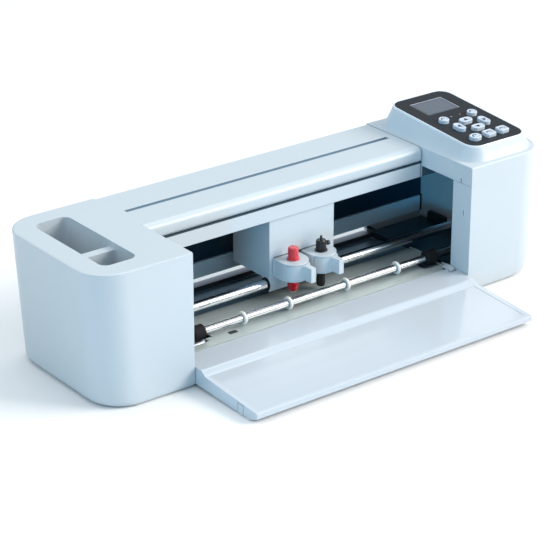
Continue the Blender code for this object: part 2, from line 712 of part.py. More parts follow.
def feed_train():
    start = LEFT_PLATE[0]
    length = RIGHT_PLATE[1] - start
    left, right = LEFT_ROLLER, RIGHT_ROLLER
    # A plain shaft with a raised grit sleeve under each pinch roller.
    profile = [(0, length), (4, length)]
    for low, high in (right, left):
        near, far = low - start, high - start
        profile += [(4, far), (GRIT_RADIUS, far), (GRIT_RADIUS, near), (4, near)]
    profile += [(4, 0), (0, 0)]
    turned("drive_roller", (start, FEED_Y, FEED_Z), "x", profile, STEEL)

    axis = pinion_axis()
    toward = math.atan2(axis[1] - FEED_Z, axis[0] - FEED_Y)
    gear = slab(
        "feed_gear", [gear_outline((FEED_Y, FEED_Z), GEAR_TEETH, toward)], *GEAR_X, "x", GEAR_NYLON
    )
    cut(gear, cylinder("gear_bore", (GEAR_X[0] - 1, FEED_Y, FEED_Z), "x", 6, 4.0 + GAP))
    set_origin(gear, (GEAR_X[0], FEED_Y, FEED_Z))
    gap_first = toward + math.pi + math.pi / PINION_TEETH
    pinion = slab("motor_pinion", [gear_outline(axis, PINION_TEETH, gap_first)], *GEAR_X, "x", BLADE_STEEL)
    join(pinion, cylinder("pinion_shaft", (GEAR_X[1] - 1, *axis), "x", 9, 2.0))
    set_origin(pinion, (GEAR_X[0], *axis))
    half, face = 14.0, RIGHT_PLATE[1] + GAP
    motor = box(
        "feed_motor", (face, face + 15), (axis[0] - half, axis[0] + half), (5.2, 5.2 + 2 * half), MOTOR_BLACK
    )
    cut(motor, cylinder("feed_motor_bore", (face - 1, *axis), "x", 8, 2.3))

    turned("pinch_shaft", (start, FEED_Y, PINCH_Z), "x",
           [(0, length), (SHAFT_RADIUS, length), (SHAFT_RADIUS, 0), (0, 0)], CHROME)
    bore = SHAFT_RADIUS + GAP
    for index, x in enumerate(RINGS_X, 1):
        profile = [(bore, RING_WIDTH), (RING_RADIUS - 0.6, RING_WIDTH), (RING_RADIUS, RING_WIDTH * 0.7),
                   (RING_RADIUS, RING_WIDTH * 0.3), (RING_RADIUS - 0.6, 0), (bore, 0)]
        turned(f"media_ring_{index}", (x - RING_WIDTH / 2, FEED_Y, PINCH_Z), "x", profile, WHITE_NYLON, True)
    for name, (low, high) in (("pinch_roller_left", left), ("pinch_roller_right", right)):
        width = high - low
        profile = [(bore, width), (PINCH_RADIUS - 0.8, width), (PINCH_RADIUS, width - 0.8),
                   (PINCH_RADIUS, 0.8), (PINCH_RADIUS - 0.8, 0), (bore, 0)]
        turned(name, (low, FEED_Y, PINCH_Z), "x", profile, RUBBER, True)


# ---------------------------------------------------------------- carriage drive

def racetrack(radius, steps=10):
    """The outline of a belt run round both pulleys, as (x, z)."""
    points = []
    for centre, start in ((DRIVE_X, -math.pi / 2), (IDLER_X, math.pi / 2)):
        for step in range(steps + 1):
            angle = start + math.pi * step / steps
            points.append((centre + radius * math.cos(angle), PULLEY_Z + radius * math.sin(angle)))
    return points


def belt_drive():
    inner = PULLEY_RADIUS + GAP
    slab("timing_belt", [racetrack(inner + 1.4), racetrack(inner)], *BELT_Y, "y", RUBBER)
    flange, shaft = inner + 1.7, 2.4
    back = BEAM_Y[0] - GAP - 0.6
    front = BELT_Y[0] - 1.2
    for name, x, reach in (("idler_pulley", IDLER_X, 1.6), ("drive_pulley", DRIVE_X, 8.0)):
        profile = [
            (0, BEAM_Y[0] + reach - front), (shaft, BEAM_Y[0] + reach - front), (shaft, back - front),
            (flange, back - front), (flange, BELT_Y[1] + GAP - front), (PULLEY_RADIUS, BELT_Y[1] + GAP - front),
            (PULLEY_RADIUS, BELT_Y[0] - GAP - front), (flange, BELT_Y[0] - GAP - front), (flange, 0), (0, 0),
        ]
        turned(name, (x, front, PULLEY_Z), "y", profile, ALUMINIUM, segments=20)
    half, face = 14.5, BEAM_Y[0] + 2.0 + GAP
    motor = box(
        "carriage_motor", (DRIVE_X - half, DRIVE_X + half), (face, face + 34),
        (PULLEY_Z - half, PULLEY_Z + half), MOTOR_BLACK,
    )
    cut(motor, cylinder("carriage_motor_bore", (DRIVE_X, face - 1, PULLEY_Z), "y", 10, 2.8))


# ---------------------------------------------------------------- carriage and tools

def carriage():
    (x0, x1), (y0, y1) = CARRIAGE_X, CARRIAGE_Y
    wall = 2.2
    foot = ROD_Y + 6.4
    outline = [
        (y0, CARRIAGE_LOW), (foot, CARRIAGE_LOW), (foot, SIDE_LOW), (y1, SIDE_LOW), (y1, SIDE_TOP),
        (97.6, SIDE_TOP), (97.6, PLATE_TOP), (y0, PLATE_TOP),
    ]
    cover = slab("carriage_cover", [outline], x0, x1, "x", BODY_BLUE)
    cut(
        cover,
        box("carriage_inside", (x0 + wall, x1 - wall), (y0 + wall, y1 + 5), (CARRIAGE_LOW - 5, PLATE_TOP + 5)),
        box("tool_window", WINDOW_X, (y0 - 5, y0 + 5), WINDOW_Z),
        box("rail_notch", (x0 - 5, x1 + 5), (116.7, 127.3), (89.2, SIDE_TOP + 5)),
        cylinder("rod_passage", (x0 - 5, ROD_Y, ROD_Z), "x", x1 - x0 + 10, ROD_RADIUS + 0.3),
    )
    set_origin(cover, (x0, ROD_Y, ROD_Z))

    outline = [
        (84.6, 30.4), (97, 30.4), (97, 84), (131, 84), (131, 98.2), (123.9, 98.2), (123.9, 94.4),
        (126.9, 94.4), (126.9, 89.6), (117.1, 89.6), (117.1, 94.4), (120.1, 94.4), (120.1, 98.2),
        (106, 98.2), (106, 106.9), (98.3, 106.9), (98.3, 98.2), (92.9, 98.2), (92.9, 43.4), (84.6, 43.4),
    ]
    frame = slab("carriage_frame", [outline], x0 + wall + GAP, x1 - wall - GAP, "x", HOLDER_BLACK)
    cut(frame, cylinder("frame_bore", (x0 - 5, ROD_Y, ROD_Z), "x", x1 - x0 + 10, ROD_RADIUS + 0.25))
    set_origin(frame, (x0, ROD_Y, ROD_Z))


def clamp_outline(centre, radius):
    """Round in front and straight-sided back to the carriage's plate."""
    back = CARRIAGE_Y[0] - 0.5
    points = [(centre + radius, back)]
    for step in range(13):
        angle = -math.pi * step / 12
        points.append((centre + radius * math.cos(angle), TOOL_Y + radius * math.sin(angle)))
    points.append((centre - radius, back))
    return points


def tool_slide(name, centre):
    """A clamp that holds one tool upright and slides up and down through the carriage's window."""
    clamp = slab(name, [clamp_outline(centre, CLAMP_RADIUS)], *CLAMP_Z, "z", BODY_BLUE)
    pin_x, pin_y = centre + LEVER_PIN[0], TOOL_Y + LEVER_PIN[1]
    seat_z = (LEVER_Z[0] - GAP, LEVER_Z[1] + GAP)
    neck = (centre - 12.5, centre + 12.5)
    cut(clamp, box(name + "_seat", (centre - 25, centre + 25), (40, TOOL_Y - 6.8), seat_z))
    join(
        clamp,
        box(name + "_neck", neck, (80, 86), (52.0, 65.0)),
        box(name + "_runner", (centre - 13.5, centre + 13.5), (85.5, 92.3), (49.5, 65.5)),
        cylinder(name + "_pin", (pin_x, pin_y, LEVER_Z[0] - 1), "z", LEVER_Z[1] - LEVER_Z[0] + 2, 1.7),
    )
    cut(clamp, cylinder(name + "_bore", (centre, TOOL_Y, 40), "z", 35, 5.6))
    set_origin(clamp, (centre, TOOL_Y, CLAMP_Z[1]))


def clamp_lever(name, centre):
    """A thumb lever on an upright pin in the clamp's seat."""
    pin_x, pin_y = LEVER_PIN
    reach = 4.8
    bow = [math.radians(207 + 10 * step) for step in range(7)]
    side = [(LEVER_RADIUS * math.cos(angle), LEVER_RADIUS * math.sin(angle)) for angle in bow]
    side += [(0.8, -18.6), (1.4, -28.6), (7.4, -28.6), (7.6, -18.4)]
    for step in range(7):
        angle = math.radians(-30 + 20 * step)
        side.append((pin_x + reach * math.cos(angle), pin_y + reach * math.sin(angle)))
    side.append((side[0][0], pin_y + reach))
    outline = [(centre + u, TOOL_Y + v) for u, v in side]
    lever = slab(name, [outline], *LEVER_Z, "z", BODY_BLUE)
    pin = (centre + pin_x, TOOL_Y + pin_y, LEVER_Z[0] - 1)
    cut(lever, cylinder(name + "_eye", pin, "z", 20, 2.0))
    set_origin(lever, (pin[0], pin[1], LEVER_Z[0]))


def tools():
    for name, centre in (("blade", BLADE_X), ("pen", PEN_X)):
        tool_slide(name + "_slide", centre)
        clamp_lever(name + "_clamp_lever", centre)
    shank, seat = 5.1, CLAMP_Z[1] + GAP
    # A capped blade holder whose nose is wider than its shank.
    nose = 29.0
    profile = [
        (0, 79.6), (4.5, 79.6), (5.3, 78.8), (5.3, 68.4), (6.7, 68.0), (6.7, seat), (shank, seat),
        (shank, 45.8), (6.1, 45.8), (6.1, 38.0), (5.4, 33.5), (4.0, 30.6), (2.4, nose), (0.9, nose),
        (0.9, nose + 3), (0, nose + 3),
    ]
    turned("blade_holder", (BLADE_X, TOOL_Y, 0), "z", profile, HOLDER_RED)
    tip = 26.8
    profile = [(0, nose + 2.5), (0.6, nose + 2.5), (0.6, tip + 1), (0, tip)]
    turned("blade_tip", (BLADE_X, TOOL_Y, 0), "z", profile, BLADE_STEEL, segments=12)
    profile = [
        (0, 82.6), (1.3, 82.4), (1.3, 78.2), (4.7, 78.2), (5.2, 77.6), (5.2, 67.8), (6.8, 67.4), (6.8, seat),
        (shank, seat), (shank, 45.8), (5.3, 45.6), (5.3, 43.6), (4.6, 43.2), (4.6, 28.2), (3.9, 26.4),
        (1.0, 25.4), (0, 25.2),
    ]
    holder = turned("pen_holder", (PEN_X, TOOL_Y, 0), "z", profile, HOLDER_BLACK)
    join(holder, cylinder("set_screw", (PEN_X + 3, TOOL_Y, 72.5), "x", 6.6, 1.4, segments=12))


# ---------------------------------------------------------------- door

def door():
    """A hollow outer shell and the panel that closes it, which faces up while the door lies open."""
    x0, x1 = DOOR_X
    front = DOOR_FRONT
    outline = [
        (26.8, 21.4), (-8.0, 21.4), (-11.0, 20.6), (-13.6, 18.6), (-16.0, 17.0), (front + 1.5, 11.3),
        (front, 10.4), (front, 5.4), (front + 12.5, 0.3), (2.5, 3.4), (20.0, 4.4), (26.8, 12.0),
    ]
    shell = slab("door_shell", [outline], x0, x1, "x", BODY_BLUE)
    slope = (17.0 - 11.3) / (-16.0 - front - 1.5)
    panel_x, panel_y = (x0 + 6.5, x1 - 6.5), (front + 6.0, -17.5)

    def surface(y, depth):
        return 11.3 + slope * (y - front - 1.5) - depth

    def sheet(y_span, high, low):
        near, far = y_span
        return [(near, surface(near, low)), (near, surface(near, high)),
                (far, surface(far, high)), (far, surface(far, low))][::-1]

    liner_y = (panel_y[0] + GAP, panel_y[1] - GAP)
    hollow_y = (panel_y[0] + 3, panel_y[1] - 3)
    recess = slab("liner_recess", [sheet(panel_y, -3.0, 2.4)], *panel_x, "x")
    hollow = slab("door_hollow", [sheet(hollow_y, -3.0, 7.6)], panel_x[0] + 3, panel_x[1] - 3, "x")
    cut(shell, recess, hollow)
    for index, span in enumerate(((x0 - 1, 121.0), (WIDTH - 121.0, x1 + 1))):
        cut(shell, box(f"hinge_notch_{index}", span, (HINGE_Y - 7.5, 30), (0, 25)))
    # The outline of a snap catch, engraved in each end of the door
    catch = (((-78.0, -77.2), (2.4, 11.0)), ((-69.0, -68.2), (2.8, 11.6)), ((-78.0, -68.2), (10.6, 11.4)))
    for side, span in enumerate(((x0 - 1, x0 + 0.8), (x1 - 0.8, x1 + 1))):
        for index, (y_span, z_span) in enumerate(catch):
            cut(shell, box(f"snap_groove_{side}_{index}", span, y_span, z_span))
    for index, x in enumerate((120.0, WIDTH - 131.0)):
        cut(shell, cylinder(f"hinge_bore_{index}", (x, HINGE_Y, HINGE_Z), "x", 11, HINGE_PIN + 0.1))
    set_origin(shell, (WIDTH / 2, HINGE_Y, HINGE_Z))
    liner = slab("door_liner", [sheet(liner_y, 0.3, 2.1)], panel_x[0] + GAP, panel_x[1] - GAP, "x", BODY_BLUE)
    set_origin(liner, (WIDTH / 2, HINGE_Y, HINGE_Z))


def hinge_brackets():
    """Each bracket stands on a side plate's front edge and carries one hinge pin."""
    for name, low, pin_start in (("hinge_bracket_left", 112.0, 119.0), ("hinge_bracket_right", 461.0, 450.5)):
        arm = box(name, (low, low + 7.0), (HINGE_Y, 31.7), (PLATEN_TOP + GAP, 24.0), BODY_BLUE)
        knuckle = cylinder(name + "_knuckle", (low, HINGE_Y, HINGE_Z), "x", 7.0, 4.6)
        join(arm, knuckle, cylinder(name + "_pin", (pin_start, HINGE_Y, HINGE_Z), "x", 10.5, HINGE_PIN))


def main():
    left_housing()
    right_housing_lower()
    right_housing_upper()
    control_panel()
    screen_and_leds()
    buttons()
    boards()
    base_plate()
    top_cover()
    crossbeam()
    side_plates()
    platen()
    guide_rod()
    sockets()
    feed_train()
    belt_drive()
    carriage()
    tools()
    door()
    hinge_brackets()


main()
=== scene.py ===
"""Looks of the desktop vinyl cutter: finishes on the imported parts, and the small details that ride on them.

mm() turns a point of the machine, measured in millimetres from the left housing's outer face, the
housings' front faces and the table, into the frame's metres. Places, outlines, profiles and levels are in
those millimetres. Lights and the floor are placed in metres.
"""

import math

import bmesh
import bpy
from mathutils import Matrix, Vector


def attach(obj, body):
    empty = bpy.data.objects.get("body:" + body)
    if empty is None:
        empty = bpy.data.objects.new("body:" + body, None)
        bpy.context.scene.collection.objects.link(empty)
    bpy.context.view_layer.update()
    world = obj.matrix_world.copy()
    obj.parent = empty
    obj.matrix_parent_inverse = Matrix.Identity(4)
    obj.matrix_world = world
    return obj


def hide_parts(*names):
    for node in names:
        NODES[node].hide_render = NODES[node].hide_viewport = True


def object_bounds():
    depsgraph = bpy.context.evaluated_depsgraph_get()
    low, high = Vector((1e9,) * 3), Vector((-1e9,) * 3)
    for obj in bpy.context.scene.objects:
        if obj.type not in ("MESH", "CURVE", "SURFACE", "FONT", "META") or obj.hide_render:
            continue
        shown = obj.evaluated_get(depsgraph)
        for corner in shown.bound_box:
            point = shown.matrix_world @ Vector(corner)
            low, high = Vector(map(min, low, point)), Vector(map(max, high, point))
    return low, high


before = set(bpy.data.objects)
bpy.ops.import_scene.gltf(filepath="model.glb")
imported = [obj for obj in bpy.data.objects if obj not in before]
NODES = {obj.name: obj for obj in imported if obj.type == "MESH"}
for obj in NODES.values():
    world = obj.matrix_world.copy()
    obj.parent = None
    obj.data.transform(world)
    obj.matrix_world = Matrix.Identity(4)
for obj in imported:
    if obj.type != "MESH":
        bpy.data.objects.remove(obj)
cad_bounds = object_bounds()
MM = 0.001
ORIGIN_X_MM, ORIGIN_Y_MM = 290.0, 38.5

TOP = 143.3                                 # top of the housings and of the bridge
BACK_FACE = 173.7                           # back of the housings
BAY_LEFT, BAY_RIGHT = 116.0, 545.6          # ends of the space behind the carriage
COVER_BACK = 171.0                          # back of the bridge's cover
BASE_PLATE_LOW = 2.0
ROD_Y, ROD_Z = 87.6, 36.2
TOOL_Y, BLADE_X, PEN_X = 68.0, 285.4, 322.3


def mm(x, y, z):
    return Vector((x - ORIGIN_X_MM, y - ORIGIN_Y_MM, z)) * MM


# ---------------------------------------------------------------- materials

def new_material(name, colour, roughness, metallic=0.0, **sockets):
    """A Principled material. sockets holds constant values for its other inputs, by name."""
    made = bpy.data.materials.new(name)
    made.use_nodes = True
    shader = made.node_tree.nodes["Principled BSDF"]
    shader.inputs["Base Color"].default_value = (*colour, 1.0)
    shader.inputs["Roughness"].default_value = roughness
    shader.inputs["Metallic"].default_value = metallic
    for socket, value in sockets.items():
        shader.inputs[socket].default_value = value
    return made


def add_node(made, kind, **values):
    node = made.node_tree.nodes.new(kind)
    for key, value in values.items():
        if key in node.inputs:
            node.inputs[key].default_value = value
        else:
            setattr(node, key, value)
    return node


def object_noise(made, scale, detail=2.0, stretch=(1, 1, 1)):
    """A noise texture on object coordinates, stretched for drawn or brushed grain."""
    links = made.node_tree.links
    coordinates = add_node(made, "ShaderNodeTexCoord")
    mapping = add_node(made, "ShaderNodeMapping", Scale=stretch)
    noise = add_node(made, "ShaderNodeTexNoise", Scale=scale, Detail=detail)
    links.new(coordinates.outputs["Object"], mapping.inputs["Vector"])
    links.new(mapping.outputs["Vector"], noise.inputs["Vector"])
    return noise.outputs["Fac"]


def vary(made, socket, factor, low, high):
    """Feeds a socket with a factor remapped to the range low to high."""
    remap = add_node(made, "ShaderNodeMapRange", **{"To Min": low, "To Max": high})
    made.node_tree.links.new(factor, remap.inputs["Value"])
    made.node_tree.links.new(remap.outputs["Result"], made.node_tree.nodes["Principled BSDF"].inputs[socket])


def tint(made, factor, colour_a, colour_b):
    mix = add_node(made, "ShaderNodeMix", data_type="RGBA")
    mix.inputs["A"].default_value = (*colour_a, 1.0)
    mix.inputs["B"].default_value = (*colour_b, 1.0)
    made.node_tree.links.new(factor, mix.inputs["Factor"])
    shader = made.node_tree.nodes["Principled BSDF"]
    made.node_tree.links.new(mix.outputs["Result"], shader.inputs["Base Color"])


def bump(made, factor, distance, strength=1.0):
    node = add_node(made, "ShaderNodeBump", Strength=strength, Distance=distance)
    made.node_tree.links.new(factor, node.inputs["Height"])
    shader = made.node_tree.nodes["Principled BSDF"]
    made.node_tree.links.new(node.outputs["Normal"], shader.inputs["Normal"])


def moulded(name, colour, roughness, grain_mm=0.35, depth_mm=0.006, **sockets):
    """Injection-moulded plastic: fine spark texture, a slight drift in tone and in gloss."""
    made = new_material(name, colour, roughness, **sockets)
    shade = [channel * 0.965 for channel in colour]
    tint(made, object_noise(made, 9.0, 3.0), shade, colour)
    vary(made, "Roughness", object_noise(made, 60.0, 3.0), roughness - 0.05, roughness + 0.06)
    bump(made, object_noise(made, 1000.0 / grain_mm / 2, 1.0), depth_mm * MM, 0.6)
    return made


def machined(name, colour, roughness, stretch, scale=900.0, spread=0.1, metallic=1.0, **sockets):
    """Ground or drawn metal whose fine lines follow one direction."""
    made = new_material(name, colour, roughness, metallic, **sockets)
    lines = object_noise(made, scale, 3.0, stretch)
    vary(made, "Roughness", lines, max(0.02, roughness - spread), roughness + spread)
    bump(made, lines, 0.000004, 0.5)
    return made


COAT = {"Coat Weight": 0.15, "Coat Roughness": 0.2}
GLOSS = {"Coat Weight": 0.5, "Coat Roughness": 0.06}
GEM = {"Coat Weight": 0.8, "Coat Roughness": 0.03}
BODY = moulded("body_plastic", (0.468, 0.53, 0.575), 0.38, **COAT)
DOOR = moulded("door_plastic", (0.46, 0.515, 0.57), 0.22, 0.6, 0.001, **GLOSS)
# Paler than the body plastic: a painted highlight along the console's rolled edge.
RIM_HIGHLIGHT = moulded("console_rim_painted_highlight", (0.60, 0.66, 0.71), 0.25, **GLOSS)
PANEL = moulded("panel_overlay", (0.0125, 0.0145, 0.019), 0.5, 0.25, 0.003, **{"Specular IOR Level": 0.22})
KEY = moulded("key_plastic", (0.46, 0.53, 0.62), 0.3, 0.3, 0.003)
ICON = moulded("icon_ink", (0.008, 0.012, 0.02), 0.5, 0.2, 0.001, **{"Specular IOR Level": 0.2})
PLATEN = machined("platen_coating", (0.45, 0.51, 0.505), 0.38, (1, 25, 25), 300.0, 0.08, 0.4)
CHROME = machined("ground_chrome", (0.68, 0.70, 0.74), 0.22, (0.3, 6, 6), 300.0, 0.02)
SHAFT = machined("satin_shaft", (0.50, 0.51, 0.53), 0.26, (0.3, 6, 6), 300.0, 0.03)
ALUMINIUM = machined("drawn_aluminium", (0.55, 0.57, 0.6), 0.32, (0.2, 30, 30), 400.0)
# Dark navy: partly the crossbeam's and back panel's own dark colour, partly painted shade under the bridge.
NAVY_SHADE = machined(
    "navy_and_painted_shade", (0.002, 0.024, 0.048), 0.45, (0.2, 30, 30), 400.0, 0.08, 0.0,
    **{"Specular IOR Level": 0.25},
)
GUIDE = machined("lacquered_steel", (0.17, 0.27, 0.35), 0.3, (0.1, 20, 20), 300.0, 0.02, 0.5)
# Pale blue-grey: the strip's own pale tone, raised to carry a painted reflection of the floor and platen
# because it sits in shade.
STRIP_REFLECTION = moulded("strip_painted_reflection", (0.52, 0.70, 0.82), 0.4, **COAT)
# Near-black navy: painted shade inside the right housing's recess.
RECESS_SHADE = machined("recess_deck", (0.010, 0.030, 0.046), 0.35, (0.3, 12, 12), 200.0, 0.1, 0.2)
SILL = machined("satin_sill", (0.34, 0.36, 0.41), 0.35, (0.2, 30, 30), 400.0, 0.08, 0.4)
# Dark navy: painted shadow in the gap under the bridge's nose.
NOSE_SHADOW = moulded("nose_painted_shadow", (0.010, 0.035, 0.055), 0.6)
# Dark teal: painted shade over the fascia's end inside the right recess, and on the shadowed joint line
# beside it.
FASCIA_END_SHADE = moulded("fascia_end_painted_shade", (0.05, 0.10, 0.14), 0.5)
# Dark blue-grey: painted shade in the top groove, and painted shadow in the joint at the bridge's right end.
GROOVE_SHADE = moulded("painted_groove_shade", (0.15, 0.23, 0.30), 0.5)
PLATED = machined("zinc_plate", (0.42, 0.48, 0.54), 0.38, (4, 4, 4), 120.0)
BLADE = machined("blade_steel", (0.8, 0.81, 0.83), 0.14, (8, 8, 1), 900.0, 0.05)
NYLON = moulded("white_nylon", (0.82, 0.78, 0.72), 0.35)
ACETAL = moulded("acetal", (0.7, 0.69, 0.64), 0.42)
RED = moulded("anodised_red", (0.56, 0.016, 0.03), 0.26, 0.5, 0.001, **GLOSS)
RUBY = moulded("ruby_nose", (0.50, 0.003, 0.012), 0.14, 0.5, 0.001, **GEM)
CLEAR = moulded("clear_tip", (0.62, 0.52, 0.54), 0.12, 0.5, 0.001, **GLOSS)
BLACK = moulded("black_barrel", (0.010, 0.010, 0.011), 0.3, 0.4, 0.002)
KNURL = machined("knurled_black", (0.022, 0.021, 0.022), 0.3, (6, 6, 6), 300.0, 0.08, 0.6)
SOCKET = moulded("socket_plastic", (0.014, 0.014, 0.016), 0.45)
MOTOR = moulded("motor_case", (0.02, 0.024, 0.03), 0.4)
SCREEN = moulded("screen_glass", (0.05, 0.06, 0.085), 0.12, 2.0, 0.0004, **GLOSS)
SCREEN_LIT = moulded("screen_viewing_area", (0.068, 0.08, 0.108), 0.14, 2.0, 0.0004, **GLOSS)
# Pale grey-blue: a painted highlight on the screen window's far and right edges.
BEZEL_HIGHLIGHT = moulded("screen_edges_painted_highlight", (0.36, 0.40, 0.46), 0.3)
LENS = moulded("led_lens", (0.20, 0.19, 0.21), 0.2, 0.4, 0.001, **GLOSS)
RED_LENS = moulded("led_lens_red", (0.20, 0.10, 0.10), 0.2, 0.4, 0.001, **GLOSS)
BOARD = moulded("circuit_board", (0.012, 0.11, 0.05), 0.4)
DARK = moulded("shadow_plastic", (0.012, 0.02, 0.028), 0.55)


def rubber_material():
    made = new_material("ground_rubber", (0.008, 0.008, 0.010), 0.72, **{"Specular IOR Level": 0.2})
    grain = object_noise(made, 2200.0, 3.0)
    bump(made, grain, 0.00012, 0.8)
    vary(made, "Roughness", grain, 0.6, 0.85)
    return made


RUBBER = rubber_material()

FINISHES = {
    BODY: (
        "left_housing", "right_housing_lower", "right_housing_upper", "top_cover", "fascia", "carriage_cover",
        "blade_slide", "pen_slide", "blade_clamp_lever", "pen_clamp_lever", "hinge_bracket_left",
        "hinge_bracket_right", "left_side_plate", "right_side_plate",
    ),
    DOOR: ("door_shell", "door_liner"),
    PANEL: ("control_panel",),
    SCREEN: ("lcd_window",),
    LENS: ("led_ready",),
    RED_LENS: ("led_power",),
    BOARD: ("keypad_board", "main_board"),
    PLATED: ("base_plate", "drive_roller"),
    RUBBER: ("foot_left", "foot_right", "pinch_roller_left", "pinch_roller_right", "timing_belt"),
    NAVY_SHADE: ("crossbeam",),
    ALUMINIUM: ("idler_pulley", "drive_pulley"),
    PLATEN: ("platen",),
    GUIDE: ("rear_guide",),
    CHROME: ("guide_rod",),
    SHAFT: ("pinch_shaft",),
    SOCKET: ("power_inlet", "usb_socket", "power_rocker", "carriage_frame"),
    ACETAL: ("feed_gear",),
    BLADE: ("motor_pinion", "blade_tip"),
    MOTOR: ("feed_motor", "carriage_motor"),
    NYLON: ("media_ring_1", "media_ring_2", "media_ring_3", "media_ring_4"),
    RED: ("blade_holder",),
    BLACK: ("pen_holder",),
    KEY: tuple(name for name in NODES if name.startswith("button_")),
}

# Width of the softened edges, for the nodes whose edges the light catches
EDGES_MM = {
    "left_housing": 0.9, "right_housing_lower": 0.5, "right_housing_upper": 0.7, "top_cover": 0.5,
    "fascia": 0.4, "carriage_cover": 1.8, "blade_slide": 0.8, "pen_slide": 0.8, "blade_clamp_lever": 0.8,
    "pen_clamp_lever": 0.8, "door_shell": 0.7, "door_liner": 0.2, "control_panel": 0.3, "platen": 0.15,
}


def smooth_shading(obj, edge_mm):
    """Smooth shading that keeps real edges: rounded by edge_mm, or split where it is 0."""
    if edge_mm:
        bevel = obj.modifiers.new("soft_edges", "BEVEL")
        bevel.width = edge_mm * MM
        bevel.segments = 2
        bevel.limit_method = "ANGLE"
        bevel.angle_limit = math.radians(38)
        bevel.use_clamp_overlap = True
    else:
        split = obj.modifiers.new("sharp_edges", "EDGE_SPLIT")
        split.split_angle = math.radians(35)
    obj.data.shade_smooth()
    weighted = obj.modifiers.new("normals", "WEIGHTED_NORMAL")
    weighted.keep_sharp = True


def dress_nodes():
    for finish, names in FINISHES.items():
        for name in names:
            node = NODES[name]
            node.data.materials.clear()
            node.data.materials.append(finish)
            weld = node.modifiers.new("weld", "WELD")
            weld.merge_threshold = 0.00002
            smooth_shading(node, EDGES_MM.get(name, 0.0))


# ---------------------------------------------------------------- piece makers

def finish_piece(name, shape, look, body, edge_mm=0.0):
    """Turns a bmesh in the frame's metres into a piece that rides on a body."""
    bmesh.ops.remove_doubles(shape, verts=shape.verts, dist=1e-7)
    bmesh.ops.dissolve_degenerate(shape, edges=shape.edges, dist=1e-7)
    bmesh.ops.recalc_face_normals(shape, faces=shape.faces)
    mesh = bpy.data.meshes.new(name)
    shape.to_mesh(mesh)
    shape.free()
    mesh.materials.append(look)
    obj = bpy.data.objects.new(name, mesh)
    bpy.context.scene.collection.objects.link(obj)
    smooth_shading(obj, edge_mm)
    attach(obj, body)
    return obj


def add_skin(shape, rings, loop=False):
    """A closed surface through rings of points that match one for one. A loop's last ring joins its first."""
    rows = [[shape.verts.new(point) for point in ring] for ring in rings]
    pairs = list(zip(rows, rows[1:]))
    if loop:
        pairs.append((rows[-1], rows[0]))
    for low, high in pairs:
        for index, corner in enumerate(low):
            after = (index + 1) % len(low)
            shape.faces.new((corner, low[after], high[after], high[index]))
    if not loop:
        shape.faces.new(rows[0][::-1])
        shape.faces.new(rows[-1])


def rounded(x_span, y_span, radius, steps=6):
    """A rounded rectangle, as points that run anticlockwise."""
    (x0, x1), (y0, y1) = x_span, y_span
    corners = ((x1, y0, -1, 1, -90), (x1, y1, -1, -1, 0), (x0, y1, 1, -1, 90), (x0, y0, 1, 1, 180))
    points = []
    for x, y, inward_x, inward_y, first in corners:
        for step in range(steps + 1):
            angle = math.radians(first + 90 * step / steps)
            across = x + inward_x * radius + radius * math.cos(angle)
            up = y + inward_y * radius + radius * math.sin(angle)
            points.append((across, up))
    return points


def along(axis, level, u, v):
    """The point at a level along an axis whose outline point is (u, v)."""
    return mm(*{"x": (level, u, v), "y": (u, level, v), "z": (u, v, level)}[axis])


def add_prism(shape, axis, outline, low, high):
    add_skin(shape, [[along(axis, level, u, v) for u, v in outline] for level in (low, high)])


def prism(name, axis, outline, low, high, look, body="machine", edge_mm=0.0):
    shape = bmesh.new()
    add_prism(shape, axis, outline, low, high)
    finish_piece(name, shape, look, body, edge_mm)


def add_lathe(shape, axis, centre, profile, steps=40):
    """Turns a closed profile of (radius, place along the axis) about an axis through the centre."""
    x, y, z = centre
    rings = []
    for step in range(steps):
        angle = 2 * math.pi * step / steps
        ring = []
        for radius, level in profile:
            u, v = radius * math.cos(angle), radius * math.sin(angle)
            places = {
                "x": (x + level, y + u, z + v),
                "y": (x + u, y + level, z + v),
                "z": (x + u, y + v, z + level),
            }
            ring.append(mm(*places[axis]))
        rings.append(ring)
    add_skin(shape, rings, loop=True)


def lathe(name, axis, centre, profile, look, body, steps=40):
    shape = bmesh.new()
    add_lathe(shape, axis, centre, profile, steps)
    finish_piece(name, shape, look, body)


# ---------------------------------------------------------------- console

PANEL_X, PANEL_Y, PANEL_CORNER = (481.6, 559.2), (14.3, 148.5), 13.5
PANEL_SLOPE = 0.08                          # fall towards the front
PANEL_MIDDLE_Y, PANEL_MIDDLE_Z = 86.0, 165.0
PANEL_TILT = math.atan(PANEL_SLOPE)
PANEL_NORMAL = Vector((0, -math.sin(PANEL_TILT), math.cos(PANEL_TILT)))


def on_panel(x, y, rise=0.0):
    """A point over the overlay's surface, which slopes down to the front."""
    return mm(x, y, PANEL_MIDDLE_Z + PANEL_SLOPE * (y - PANEL_MIDDLE_Y)) + PANEL_NORMAL * rise * MM


def near_panel(centre, u, v, rise):
    return on_panel(centre[0] + u, centre[1] + v * math.cos(PANEL_TILT), rise)


def panel_rim():
    """The rolled edge of the console's shell round the overlay, paler than the body plastic: a painted
    highlight.
    """
    profile = (
        (0.15, -2.08), (0.15, -0.1), (0.3, 0.22), (0.7, 0.36),
        (1.2, 0.22), (1.6, -0.3), (1.85, -1.1), (1.9, -2.08),
    )
    rings = []
    for grow, rise in profile:
        spans = [(low - grow, high + grow) for low, high in (PANEL_X, PANEL_Y)]
        rings.append([on_panel(x, y, rise) for x, y in rounded(*spans, PANEL_CORNER + grow, 10)])
    shape = bmesh.new()
    add_skin(shape, rings, loop=True)
    finish_piece("panel_rim", shape, RIM_HIGHLIGHT, "machine")


